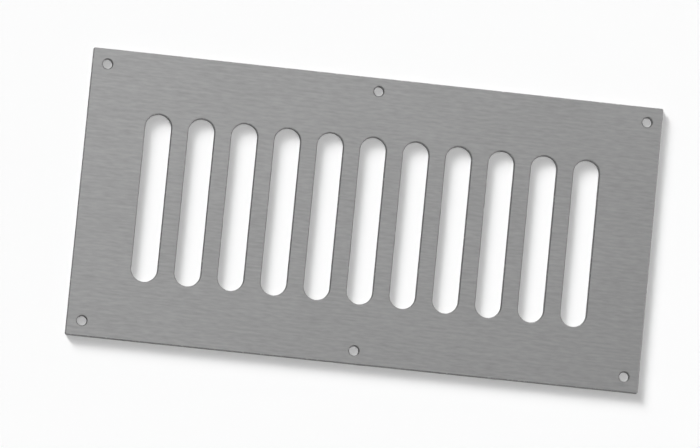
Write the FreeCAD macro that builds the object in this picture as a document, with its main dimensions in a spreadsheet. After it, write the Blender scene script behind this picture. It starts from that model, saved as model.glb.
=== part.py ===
import FreeCAD, Part
import math
import os

import Sketcher

# Slotted vent plate: the flat metal face plate that screws over an air transfer opening in a
# door or a wall. It is one piece of sheet: a square-cornered blank, a row of upright round-ended
# slots for the air, and six plain screw holes, one in each corner and one at the middle of each
# long side. The front edges of the blank, slots and holes have a chamfer that shows as a fine line
# round each of them, and the back edges are only broken.
#
# Frame, in millimetres: the plate lies on its back. The origin is the centre of the back face,
# +X runs along the plate, +Y across it along the slots, and +Z out of the front face.

SIZES = [
    ("plate_length", 300.0, "Blank, along X"),
    ("plate_width", 150.0, "Blank, along Y"),
    ("plate_thickness", 3.0, "Sheet thickness"),
    ("corner_radius", 1.0, "Blank's four corners, seen from the front"),
    ("slot_width", 13.5, "Slot, along X"),
    ("bar_width", 9.0, "Metal between one slot and the next"),
    ("slot_side_margin", 31.25, "From a slot's ends to the long edges"),
    ("row_end_margin", 30.0, "Least strip of plain metal at each end of the row"),
    ("screw_hole_diameter", 5.0, "Clearance for a number 8 wood screw"),
    ("corner_hole_end_inset", 8.0, "Corner hole's centre from the short edge"),
    ("corner_hole_side_inset", 8.0, "Corner hole's centre from the long edge"),
    ("middle_hole_side_inset", 7.0, "Middle hole's centre from the long edge"),
    ("front_edge_chamfer", 0.5, "Every edge of the front face"),
    ("back_edge_chamfer", 0.2, "Every edge of the back face"),
]

# What follows from the driving dimensions, as expressions for the features. The row holds as many
# slots as fit between its end margins.
SLOT_LENGTH = "(sizes.plate_width - 2 * sizes.slot_side_margin)"
SLOT_PITCH = "(sizes.slot_width + sizes.bar_width)"
ROW_ROOM = "(sizes.plate_length - 2 * sizes.row_end_margin - sizes.slot_width)"
SLOT_COUNT = f"(floor({ROW_ROOM} / {SLOT_PITCH}) + 1)"
FIRST_SLOT_REACH = f"({SLOT_COUNT} - 1) * {SLOT_PITCH} / 2"
SLOT_END_REACH = f"({SLOT_LENGTH} - sizes.slot_width) / 2"

ORIGIN_POINT = (-1, 1)  # a sketch's own origin, as constraints name it
START, END, CENTRE = range(1, 4)  # the points of a line or an arc, as constraints number them


def make_size_sheet(doc):
    """The driving dimensions, one to a row, each with an alias that the features are bound to."""
    sheet = doc.addObject("Spreadsheet::Sheet", "sizes")
    for row, (alias, value, meaning) in enumerate(SIZES, start=1):
        sheet.set(f"A{row}", meaning)
        sheet.set(f"B{row}", str(value))
        sheet.setAlias(f"B{row}", alias)
    doc.recompute()
    return sheet


def add_sketch(body, name):
    """A sketch on the plane of the plate's back face."""
    back_plane = next(f for f in body.Origin.OriginFeatures if f.Role == "XY_Plane")
    sketch = body.newObject("Sketcher::SketchObject", name)
    sketch.AttachmentSupport = [(back_plane, "")]
    sketch.MapMode = "FlatFace"
    return sketch


def add_feature(body, kind, name, **settings):
    """A feature that works on the body's last one and becomes its tip."""
    feature = body.newObject(kind, name)
    for setting, value in settings.items():
        setattr(feature, setting, value)
    body.Tip = feature
    return feature


def constrain(sketch, kind, *points, name=None, size=None):
    """A constraint, which is driven by the sheet where a name and a size are given."""
    if size is None:
        sketch.addConstraint(Sketcher.Constraint(kind, *points))
        return
    index = sketch.addConstraint(Sketcher.Constraint(kind, *points, 1.0))
    sketch.renameConstraint(index, name)
    sketch.setExpression(f"Constraints.{name}", size)


def add_centred_rectangle(sketch, half_length, half_width, length, width, construction=False):
    """A rectangle about the sketch's origin: bottom, right, top and left lines, in that order."""
    corners = [
        FreeCAD.Vector(x * half_length, y * half_width, 0)
        for x, y in ((-1, -1), (1, -1), (1, 1), (-1, 1))
    ]
    lines = [Part.LineSegment(start, end) for start, end in zip(corners, corners[1:] + corners[:1])]
    bottom, right, top, left = [sketch.addGeometry(line, construction) for line in lines]
    for line, following in ((bottom, right), (right, top), (top, left), (left, bottom)):
        constrain(sketch, "Coincident", line, END, following, START)
    for line in (bottom, top):
        constrain(sketch, "Horizontal", line)
    for line in (right, left):
        constrain(sketch, "Vertical", line)
    constrain(sketch, "Symmetric", bottom, START, top, START, *ORIGIN_POINT)
    constrain(sketch, "DistanceX", bottom, START, bottom, END, name="length", size=length)
    constrain(sketch, "DistanceY", right, START, right, END, name="width", size=width)
    return bottom, right, top, left


def add_blank(body, sizes):
    """The square-cornered sheet that the plate is cut from, with its corners eased."""
    outline = add_sketch(body, "blank_outline")
    add_centred_rectangle(
        outline, sizes.plate_length / 2, sizes.plate_width / 2, "sizes.plate_length", "sizes.plate_width"
    )
    blank = add_feature(body, "PartDesign::Pad", "blank", Profile=outline)
    blank.setExpression("Length", "sizes.plate_thickness")
    body.Document.recompute()

    upright_edges = [
        f"Edge{i}"
        for i, edge in enumerate(blank.Shape.Edges, start=1)
        if abs(edge.Vertexes[0].Z - edge.Vertexes[-1].Z) > sizes.plate_thickness / 2
    ]
    corners = add_feature(body, "PartDesign::Fillet", "eased_corners", Base=(blank, upright_edges))
    corners.setExpression("Radius", "sizes.corner_radius")
    body.Document.recompute()


def add_slot_row(body, sizes):
    """One round-ended slot at the row's left end, cut through, and repeated along the plate."""
    radius = sizes.slot_width / 2
    first_x = -sizes.evalExpression(FIRST_SLOT_REACH)
    reach = sizes.evalExpression(SLOT_END_REACH)
    across = FreeCAD.Vector(radius, 0, 0)
    upper_centre = FreeCAD.Vector(first_x, reach, 0)
    lower_centre = FreeCAD.Vector(first_x, -reach, 0)

    outline = add_sketch(body, "slot_outline")
    up = FreeCAD.Vector(0, 0, 1)
    upper_end = outline.addGeometry(Part.ArcOfCircle(Part.Circle(upper_centre, up, radius), 0, math.pi))
    left_side = outline.addGeometry(Part.LineSegment(upper_centre - across, lower_centre - across))
    lower_end = outline.addGeometry(
        Part.ArcOfCircle(Part.Circle(lower_centre, up, radius), math.pi, 2 * math.pi)
    )
    right_side = outline.addGeometry(Part.LineSegment(lower_centre + across, upper_centre + across))
    run = (upper_end, left_side, lower_end, right_side)
    for piece, following in zip(run, run[1:] + run[:1]):
        constrain(outline, "Tangent", piece, END, following, START)
    constrain(outline, "Equal", upper_end, lower_end)
    constrain(outline, "Vertical", left_side)
    constrain(outline, "Diameter", upper_end, name="slot_width", size="sizes.slot_width")
    for name, kind, ends, size in (
        ("row_reach", "DistanceX", (upper_end, CENTRE, *ORIGIN_POINT), FIRST_SLOT_REACH),
        ("reach_up", "DistanceY", (*ORIGIN_POINT, upper_end, CENTRE), SLOT_END_REACH),
        ("reach_down", "DistanceY", (lower_end, CENTRE, *ORIGIN_POINT), SLOT_END_REACH),
    ):
        constrain(outline, kind, *ends, name=name, size=size)

    slot = add_feature(
        body, "PartDesign::Pocket", "slot", Profile=outline, Type="ThroughAll", Reversed=True
    )
    body.Document.recompute()
    row = add_feature(
        body, "PartDesign::LinearPattern", "slot_row",
        Originals=[slot], Direction=(outline, ["H_Axis"]), Mode="Spacing",
    )
    row.setExpression("Offset", SLOT_PITCH)
    row.setExpression("Occurrences", SLOT_COUNT)
    body.Document.recompute()


def add_screw_holes(body, sizes):
    """Six plain clearance holes. A construction rectangle carries the corner ones' centres."""
    layout = add_sketch(body, "screw_hole_layout")
    corner_x = sizes.plate_length / 2 - sizes.corner_hole_end_inset
    corner_y = sizes.plate_width / 2 - sizes.corner_hole_side_inset
    middle_y = sizes.plate_width / 2 - sizes.middle_hole_side_inset
    corner_lines = add_centred_rectangle(
        layout, corner_x, corner_y,
        "sizes.plate_length - 2 * sizes.corner_hole_end_inset",
        "sizes.plate_width - 2 * sizes.corner_hole_side_inset",
        construction=True,
    )

    def add_hole(x, y):
        centre = FreeCAD.Vector(x, y, 0)
        circle = Part.Circle(centre, FreeCAD.Vector(0, 0, 1), sizes.screw_hole_diameter / 2)
        return layout.addGeometry(circle)

    corners = ((-corner_x, -corner_y), (corner_x, -corner_y), (corner_x, corner_y), (-corner_x, corner_y))
    holes = []
    for line, (x, y) in zip(corner_lines, corners):
        holes.append(add_hole(x, y))
        constrain(layout, "Coincident", holes[-1], CENTRE, line, START)

    lower, upper = add_hole(0, -middle_y), add_hole(0, middle_y)
    holes += [lower, upper]
    constrain(layout, "Symmetric", lower, CENTRE, upper, CENTRE, *ORIGIN_POINT)
    constrain(layout, "Vertical", lower, CENTRE, upper, CENTRE)
    constrain(
        layout, "DistanceY", lower, CENTRE, upper, CENTRE,
        name="middle_spacing", size="sizes.plate_width - 2 * sizes.middle_hole_side_inset",
    )
    for hole in holes[1:]:
        constrain(layout, "Equal", holes[0], hole)
    constrain(layout, "Diameter", holes[0], name="hole_diameter", size="sizes.screw_hole_diameter")
    body.Document.recompute()

    drilled = add_feature(
        body, "PartDesign::Hole", "screw_holes",
        Profile=layout, Threaded=False, DepthType="ThroughAll", Reversed=True,
    )
    drilled.setExpression("Diameter", "sizes.screw_hole_diameter")
    body.Document.recompute()


def flat_face(shape, height):
    """The name of the largest face that lies level at a height."""
    level = [
        (face.Area, f"Face{i}")
        for i, face in enumerate(shape.Faces, start=1)
        if face.BoundBox.ZLength < 1e-6 and abs(face.BoundBox.ZMin - height) < 1e-6
    ]
    return max(level)[1]


def break_edges(body, sizes):
    """Chamfers every edge of the front face, and then every edge of the back one."""
    for name, height, width in (
        ("chamfered_front_edges", sizes.plate_thickness, "sizes.front_edge_chamfer"),
        ("broken_back_edges", 0.0, "sizes.back_edge_chamfer"),
    ):
        before = body.Tip
        face = flat_face(before.Shape, height)
        chamfer = add_feature(body, "PartDesign::Chamfer", name, Base=(before, [face]))
        chamfer.setExpression("Size", width)
        body.Document.recompute()


def cut_volume(sizes):
    """The volume of the plate with its slots and holes, before its edges are broken."""
    corners = (4 - math.pi) * sizes.corner_radius**2
    straight_stretch = 2 * sizes.evalExpression(SLOT_END_REACH) * sizes.slot_width
    slot = straight_stretch + math.pi * sizes.slot_width**2 / 4
    slots = sizes.evalExpression(SLOT_COUNT) * slot
    holes = 6 * math.pi * sizes.screw_hole_diameter**2 / 4
    face = sizes.plate_length * sizes.plate_width - corners - slots - holes
    return face * sizes.plate_thickness


def make_vent_plate(doc, sizes):
    """The plate, as one body of the document."""
    body = doc.addObject("PartDesign::Body", "slotted_vent_plate")
    body.Label = "slotted_vent_plate"
    body.Placement = FreeCAD.Placement()
    add_blank(body, sizes)
    add_slot_row(body, sizes)
    add_screw_holes(body, sizes)
    if abs(body.Tip.Shape.Volume / cut_volume(sizes) - 1) > 1e-6:
        raise RuntimeError("the slots or the screw holes are not cut right through")
    volume = body.Tip.Shape.Volume
    break_edges(body, sizes)
    if body.Tip.Shape.Volume >= volume:
        raise RuntimeError("the edges are not broken")
    return body


def check_and_write(doc, bodies):
    """Stops on any failed object or unsound solid, and otherwise writes one STEP file a body."""
    doc.recompute()
    for item in doc.Objects:
        if {"Invalid", "Error"} & set(item.State):
            raise RuntimeError(f"{item.Name} failed: {item.State}")
    for body in bodies:
        shape = body.Shape
        if shape.isNull() or not shape.isValid() or len(shape.Solids) != 1:
            raise RuntimeError(f"{body.Label} is not one sound solid")
    os.makedirs("parts", exist_ok=True)
    for body in bodies:
        body.Shape.exportStep(f"parts/{body.Label}.step")
        box = body.Shape.BoundBox
        print(
            f"{body.Label}: {box.XLength:.2f} x {box.YLength:.2f} x {box.ZLength:.2f} mm,"
            f" {body.Shape.Volume / 1000:.2f} cm3"
        )


doc = FreeCAD.newDocument("slotted_vent_plate")
sizes = make_size_sheet(doc)
check_and_write(doc, [make_vent_plate(doc, sizes)])
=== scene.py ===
# Looks of the slotted vent plate: a flat satin plate, brushed along its length, on a white studio floor.
# Everything is in metres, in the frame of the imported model: length along X, width along Y, face up.
import math

import bpy
from mathutils import Matrix, Vector


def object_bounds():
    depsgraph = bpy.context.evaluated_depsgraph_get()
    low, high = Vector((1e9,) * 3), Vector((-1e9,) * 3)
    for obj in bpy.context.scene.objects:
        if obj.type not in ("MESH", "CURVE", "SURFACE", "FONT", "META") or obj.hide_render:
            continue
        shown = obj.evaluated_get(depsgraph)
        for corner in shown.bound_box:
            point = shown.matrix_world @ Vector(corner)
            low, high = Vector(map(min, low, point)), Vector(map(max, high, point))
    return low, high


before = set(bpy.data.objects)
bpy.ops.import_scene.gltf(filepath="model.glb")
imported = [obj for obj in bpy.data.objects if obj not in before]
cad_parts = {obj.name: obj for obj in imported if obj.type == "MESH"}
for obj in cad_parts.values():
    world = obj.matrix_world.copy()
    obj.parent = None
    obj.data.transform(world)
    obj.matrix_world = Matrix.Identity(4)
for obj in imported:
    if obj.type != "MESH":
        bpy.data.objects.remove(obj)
cad_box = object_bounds()

PLATE = "slotted_vent_plate"

# ---------------------------------------------------------------- camera and studio

# A long lens, almost straight above, leaning a little towards the plate's lower left corner. It aims
# AIM_OFFSET away from the middle of the face.
LENS_MM = 300.0
CAMERA_DISTANCE = 3.029
CAMERA_TILT = math.radians(8.0)
CAMERA_AZIMUTH = math.radians(-135.0)
CAMERA_ROLL = math.radians(5.5)
AIM_OFFSET = (-0.0084, -0.0026)

# A far soft light is a sun with a wide disc. All stand at one azimuth, on the upper left. Each has its
# elevation and width in degrees, and how bright it alone would make a white floor. Together with the
# ambient light they come to just under 1, so that the floor is almost white and doesn't clip.
LIGHT_AZIMUTH = 129.7
FAR_LIGHTS = {
    "low_key_light": dict(elevation=20.0, width=16.0, floor_level=0.325),
    "broad_key_light": dict(elevation=27.0, width=32.0, floor_level=0.22),
    "top_light": dict(elevation=87.0, width=13.0, floor_level=0.385),
}
AMBIENT = 0.065

# The square scrim over the plate, which only the metal sees. It fades evenly from a bright upper left to
# a dim lower right, and the fade reaches SCRIM_RAMP each way from the scrim's middle.
SCRIM_HEIGHT = 0.45
SCRIM_HALF_SIDE = 0.65
SCRIM_AZIMUTH = math.radians(134.0)
SCRIM_RAMP = 0.40
SCRIM_BRIGHT = 1.28
SCRIM_DIM = 0.58

# What the metal sees beside the scrim: bright on the upper right and dark on the lower left. The light
# changes while the lower left share of the look's direction goes from -REFLECTED_TURN to REFLECTED_TURN.
REFLECTED_BRIGHT = 1.60
REFLECTED_DARK = 0.36
REFLECTED_TURN = 0.60

# The floor lies a hair under the plate, so that the two don't meet in one plane.
FLOOR_SIZE = 12.0
FLOOR_GAP = 0.00005
FLOOR_COLOUR = 0.98

# ---------------------------------------------------------------- finish of the metal

# Linear greys and roughness of the faces, the chamfers and the cut walls. The walls' grey is darker than cut
# metal alone: it is partly painted shade, for the dark rim along the edges and in the slots. The metal is
# rougher across the brush marks than along them, and EDGE_ON_TINT is its tint where it is seen edge-on.
FACE_GREY = 0.335
CHAMFER_GREY = 0.30
WALL_GREY_WITH_PAINTED_SHADE = 0.22
FACE_ROUGHNESS = 0.40
CHAMFER_ROUGHNESS = 0.38
WALL_ROUGHNESS = 0.55
BRUSH_ANISOTROPY = 0.5
EDGE_ON_TINT = 0.75
ACROSS_BRUSH = dict(X=0.0, Y=1.0, Z=0.0)

# How upright a surface's normal is tells what it is: a wall below WALL_LIMITS, a face above FACE_LIMITS,
# and a chamfer between the two. A mask changes smoothly from one number of its pair to the other.
WALL_LIMITS = (0.30, 0.40)
FACE_LIMITS = (0.90, 0.98)

# How far each kind of mark moves the tone either way, as a share of it: the brush marks on the front and
# on the plainer back, the clouds, and the cut marks. The brush marks also move the roughness a little.
FRONT_CONTRAST = 0.125
BACK_CONTRAST = 0.07
CLOUD_CONTRAST = 0.025
CUT_CONTRAST = 0.15
ROUGHNESS_SWING = 0.05
BACK_EXTRA_ROUGHNESS = 0.06

# Grain of each mark, in marks per metre along X, Y and Z. The brush marks are a mix of fine hairs, short
# marks and long lines, each with its share.
HAIR_GRAIN = (160.0, 4500.0, 40.0)
HAIR_SHARE = 0.24
MARK_GRAIN = (160.0, 740.0, 20.0)
MARK_SHARE = 0.50
LINE_GRAIN = (26.0, 900.0, 8.0)
LINE_SHARE = 0.26
CLOUD_GRAIN = (14.0, 22.0, 14.0)
CUT_GRAIN = (2600.0, 2600.0, 160.0)

# Small bright nicks in the chamfers, where their noise rises from the first number to the second.
NICK_GRAIN = (420.0, 420.0, 420.0)
NICK_LIMITS = (0.58, 0.68)
NICK_BRIGHTNESS = 0.5

# The marks are also slightly sunk, in metres, and the cut marks less than the brush marks.
BUMP_STRENGTH = 0.12
BUMP_DEPTH = 0.00008
CUT_DEPTH_SHARE = 0.4

# The stretch of its 0 to 1 that a noise mostly stays in.
NOISE_RANGE = (0.3, 0.7)


# ---------------------------------------------------------------- node helpers

def grey_colour(level):
    return (level, level, level, 1.0)


class Graph:
    """A short way to write shader nodes."""

    def __init__(self, tree):
        self.tree = tree
        tree.nodes.clear()

    def node(self, kind, settings=None, inputs=None):
        node = self.tree.nodes.new(kind)
        for name, value in (settings or {}).items():
            setattr(node, name, value)
        for name, value in (inputs or {}).items():
            self.feed(node.inputs[name], value)
        return node

    def feed(self, socket, value):
        if isinstance(value, bpy.types.NodeSocket):
            self.tree.links.new(value, socket)
        else:
            socket.default_value = value

    def math(self, operation, *values):
        node = self.node("ShaderNodeMath", {"operation": operation})
        for socket, value in zip(node.inputs, values):
            self.feed(socket, value)
        return node.outputs[0]

    def add(self, a, b):
        return self.math("ADD", a, b)

    def times(self, a, b):
        return self.math("MULTIPLY", a, b)

    def blend(self, factor, a, b):
        """A number that goes from a to b with factor."""
        node = self.node("ShaderNodeMix", {"data_type": "FLOAT"})
        self.feed(node.inputs[0], factor)
        self.feed(node.inputs[2], a)
        self.feed(node.inputs[3], b)
        return node.outputs[0]

    def remap(self, value, limits, to_low, to_high, smooth=True):
        """A number that goes from to_low to to_high while value goes from one limit to the other."""
        node = self.node("ShaderNodeMapRange", {"interpolation_type": "SMOOTHSTEP" if smooth else "LINEAR"})
        for name, number in (("Value", value), ("From Min", limits[0]), ("From Max", limits[1]),
                             ("To Min", to_low), ("To Max", to_high)):
            self.feed(node.inputs[name], number)
        return node.outputs["Result"]

    def swing(self, noise, middle, reach):
        """A number that follows a noise from middle - reach to middle + reach."""
        return self.remap(noise, NOISE_RANGE, middle - reach, middle + reach, smooth=False)

    def axes(self, vector):
        return self.node("ShaderNodeSeparateXYZ", inputs={"Vector": vector}).outputs

    def stretched_noise(self, coords, scale, detail=2.0, roughness=0.5):
        """Noise from 0 to 1 whose grain is 1/scale metres along each axis."""
        mapping = self.node("ShaderNodeMapping", {"vector_type": "POINT"}, {"Vector": coords, "Scale": scale})
        noise = self.node("ShaderNodeTexNoise", {"noise_dimensions": "3D"}, {
            "Vector": mapping.outputs["Vector"], "Scale": 1.0, "Detail": detail, "Roughness": roughness})
        return noise.outputs["Fac"]


def new_material(name):
    material = bpy.data.materials.new(name)
    material.use_nodes = True
    return material, Graph(material.node_tree)


# ---------------------------------------------------------------- materials

def surface_masks(g):
    """How far a point is on a face, on a wall and on the back, each from 0 to 1."""
    normal_z = g.axes(g.node("ShaderNodeNewGeometry").outputs["True Normal"])["Z"]
    upright = g.math("ABSOLUTE", normal_z)
    face = g.remap(upright, FACE_LIMITS, 0.0, 1.0)
    wall = g.remap(upright, WALL_LIMITS, 1.0, 0.0)
    back = g.remap(g.times(normal_z, -1.0), FACE_LIMITS, 0.0, 1.0)
    return face, wall, back


def brush_marks(g, coords):
    """Fine hairs, short marks and long lines along the plate, in one noise."""
    hair = g.stretched_noise(coords, HAIR_GRAIN, detail=3.0, roughness=0.6)
    mark = g.stretched_noise(coords, MARK_GRAIN, detail=3.0)
    line = g.stretched_noise(coords, LINE_GRAIN)
    return g.add(g.times(hair, HAIR_SHARE), g.add(g.times(mark, MARK_SHARE), g.times(line, LINE_SHARE)))


def brushed_plate_material():
    material, g = new_material("brushed_plate_finish")
    coords = g.node("ShaderNodeTexCoord").outputs["Object"]
    face, wall, back = surface_masks(g)
    brush = brush_marks(g, coords)
    cloud = g.stretched_noise(coords, CLOUD_GRAIN, detail=3.0)
    cuts = g.stretched_noise(coords, CUT_GRAIN)
    nicks = g.remap(g.stretched_noise(coords, NICK_GRAIN, detail=3.0), NICK_LIMITS, 0.0, NICK_BRIGHTNESS)

    contrast = g.blend(back, FRONT_CONTRAST, BACK_CONTRAST)
    brush_tone = g.add(g.times(g.swing(brush, 0.0, 1.0), contrast), 1.0)
    face_tone = g.times(g.times(brush_tone, g.swing(cloud, 1.0, CLOUD_CONTRAST)), FACE_GREY)
    chamfer_tone = g.times(g.add(nicks, 1.0), CHAMFER_GREY)
    # The walls take a darker grey that is partly painted shade, for the dark rims along the edges and slots.
    cut_and_painted_wall_shade_tone = g.times(g.swing(cuts, 1.0, CUT_CONTRAST), g.blend(wall, chamfer_tone, WALL_GREY_WITH_PAINTED_SHADE))
    grey = g.blend(face, cut_and_painted_wall_shade_tone, face_tone)
    colour = g.node("ShaderNodeCombineColor", inputs={"Red": grey, "Green": grey, "Blue": grey})

    face_rough = g.add(g.swing(brush, FACE_ROUGHNESS, -ROUGHNESS_SWING), g.times(back, BACK_EXTRA_ROUGHNESS))
    rough = g.blend(face, g.blend(wall, CHAMFER_ROUGHNESS, WALL_ROUGHNESS), face_rough)

    height = g.blend(face, g.times(cuts, CUT_DEPTH_SHARE), brush)
    bump = g.node("ShaderNodeBump", inputs={
        "Strength": BUMP_STRENGTH, "Distance": BUMP_DEPTH, "Height": height})
    across = g.node("ShaderNodeCombineXYZ", inputs=ACROSS_BRUSH)

    shader = g.node("ShaderNodeBsdfPrincipled", inputs={
        "Base Color": colour.outputs["Color"], "Metallic": 1.0, "Roughness": rough,
        "Normal": bump.outputs["Normal"], "Tangent": across.outputs["Vector"],
        "Anisotropic": BRUSH_ANISOTROPY, "Specular Tint": grey_colour(EDGE_ON_TINT)})
    g.node("ShaderNodeOutputMaterial", inputs={"Surface": shader.outputs["BSDF"]})
    return material


def floor_material():
    material, g = new_material("studio_floor")
    diffuse = g.node("ShaderNodeBsdfDiffuse", inputs={"Color": grey_colour(FLOOR_COLOUR)})
    g.node("ShaderNodeOutputMaterial", inputs={"Surface": diffuse.outputs["BSDF"]})
    return material


def scrim_material():
    """Light that fades evenly from the upper left to the lower right."""
    material, g = new_material("scrim_light")
    place = g.axes(g.node("ShaderNodeTexCoord").outputs["Object"])
    towards_light = g.add(g.times(place["X"], math.cos(SCRIM_AZIMUTH)),
                          g.times(place["Y"], math.sin(SCRIM_AZIMUTH)))
    strength = g.remap(towards_light, (-SCRIM_RAMP, SCRIM_RAMP), SCRIM_DIM, SCRIM_BRIGHT, smooth=False)
    emission = g.node("ShaderNodeEmission", inputs={"Color": grey_colour(1.0), "Strength": strength})
    g.node("ShaderNodeOutputMaterial", inputs={"Surface": emission.outputs["Emission"]})
    return material


# ---------------------------------------------------------------- studio

def direction(azimuth, elevation):
    return Vector((math.cos(elevation) * math.cos(azimuth), math.cos(elevation) * math.sin(azimuth),
                   math.sin(elevation)))


def add_camera(centre):
    target = centre + Vector((*AIM_OFFSET, 0.0))
    back = direction(CAMERA_AZIMUTH, math.pi / 2 - CAMERA_TILT)
    right = Vector((0.0, 1.0, 0.0)).cross(back).normalized()
    up = back.cross(right)
    rolled_right = right * math.cos(CAMERA_ROLL) + up * math.sin(CAMERA_ROLL)
    rolled_up = up * math.cos(CAMERA_ROLL) - right * math.sin(CAMERA_ROLL)
    turn = Matrix((rolled_right, rolled_up, back)).transposed().to_4x4()
    camera = bpy.data.objects.new("camera", bpy.data.cameras.new("camera"))
    camera.data.lens = LENS_MM
    camera.matrix_world = Matrix.Translation(target + back * CAMERA_DISTANCE) @ turn
    bpy.context.scene.collection.objects.link(camera)
    bpy.context.scene.camera = camera


def add_far_light(name, centre, elevation, width, floor_level):
    """A sun that lights the floor and casts the plate's shadow. The metal and the camera don't see it."""
    towards = direction(math.radians(LIGHT_AZIMUTH), math.radians(elevation))
    lamp = bpy.data.objects.new(name, bpy.data.lights.new(name, "SUN"))
    lamp.location = centre + towards
    lamp.rotation_euler = towards.to_track_quat("Z", "Y").to_euler()
    lamp.data.angle = math.radians(width)
    lamp.data.energy = floor_level * math.pi / towards.z
    lamp.visible_camera = False
    lamp.visible_glossy = False
    bpy.context.scene.collection.objects.link(lamp)


def add_square(name, half, centre, material):
    mesh = bpy.data.meshes.new(name)
    mesh.from_pydata([(-half, -half, 0.0), (half, -half, 0.0), (half, half, 0.0), (-half, half, 0.0)],
                     [], [(0, 1, 2, 3)])
    mesh.materials.append(material)
    square = bpy.data.objects.new(name, mesh)
    square.location = centre
    bpy.context.scene.collection.objects.link(square)
    return square


def add_scrim(centre):
    scrim = add_square("scrim", SCRIM_HALF_SIDE, centre + Vector((0.0, 0.0, SCRIM_HEIGHT)), scrim_material())
    scrim.visible_camera = False
    scrim.visible_diffuse = False
    scrim.visible_shadow = False


def add_world():
    """White to the camera. The metal sees it bright on the upper right and dark on the lower left."""
    world = bpy.data.worlds.new("studio")
    world.use_nodes = True
    g = Graph(world.node_tree)
    path = g.node("ShaderNodeLightPath")
    look = g.axes(g.node("ShaderNodeTexCoord").outputs["Generated"])
    lower_left = g.times(g.add(look["X"], look["Y"]), -math.sqrt(0.5))
    reflected = g.remap(lower_left, (-REFLECTED_TURN, REFLECTED_TURN), REFLECTED_BRIGHT, REFLECTED_DARK)
    on_surfaces = g.blend(path.outputs["Is Glossy Ray"], AMBIENT, reflected)
    strength = g.blend(path.outputs["Is Camera Ray"], on_surfaces, 1.0)
    background = g.node("ShaderNodeBackground", inputs={"Color": grey_colour(1.0), "Strength": strength})
    g.node("ShaderNodeOutputWorld", inputs={"Surface": background.outputs["Background"]})
    # Sampled as a lamp, the world would count as dark wherever it depends on the kind of ray.
    world.cycles.sampling_method = "NONE"
    bpy.context.scene.world = world


# ---------------------------------------------------------------- scene

low, high = cad_box
centre = (low + high) / 2
top_centre = Vector((centre.x, centre.y, high.z))

add_camera(top_centre)
finish = brushed_plate_material()
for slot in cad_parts[PLATE].material_slots:
    slot.material = finish
add_square("floor", FLOOR_SIZE / 2, Vector((centre.x, centre.y, low.z - FLOOR_GAP)), floor_material())
add_world()
for name, settings in FAR_LIGHTS.items():
    add_far_light(name, top_centre, **settings)
add_scrim(top_centre)
bpy.context.scene.view_settings.view_transform = "Standard"
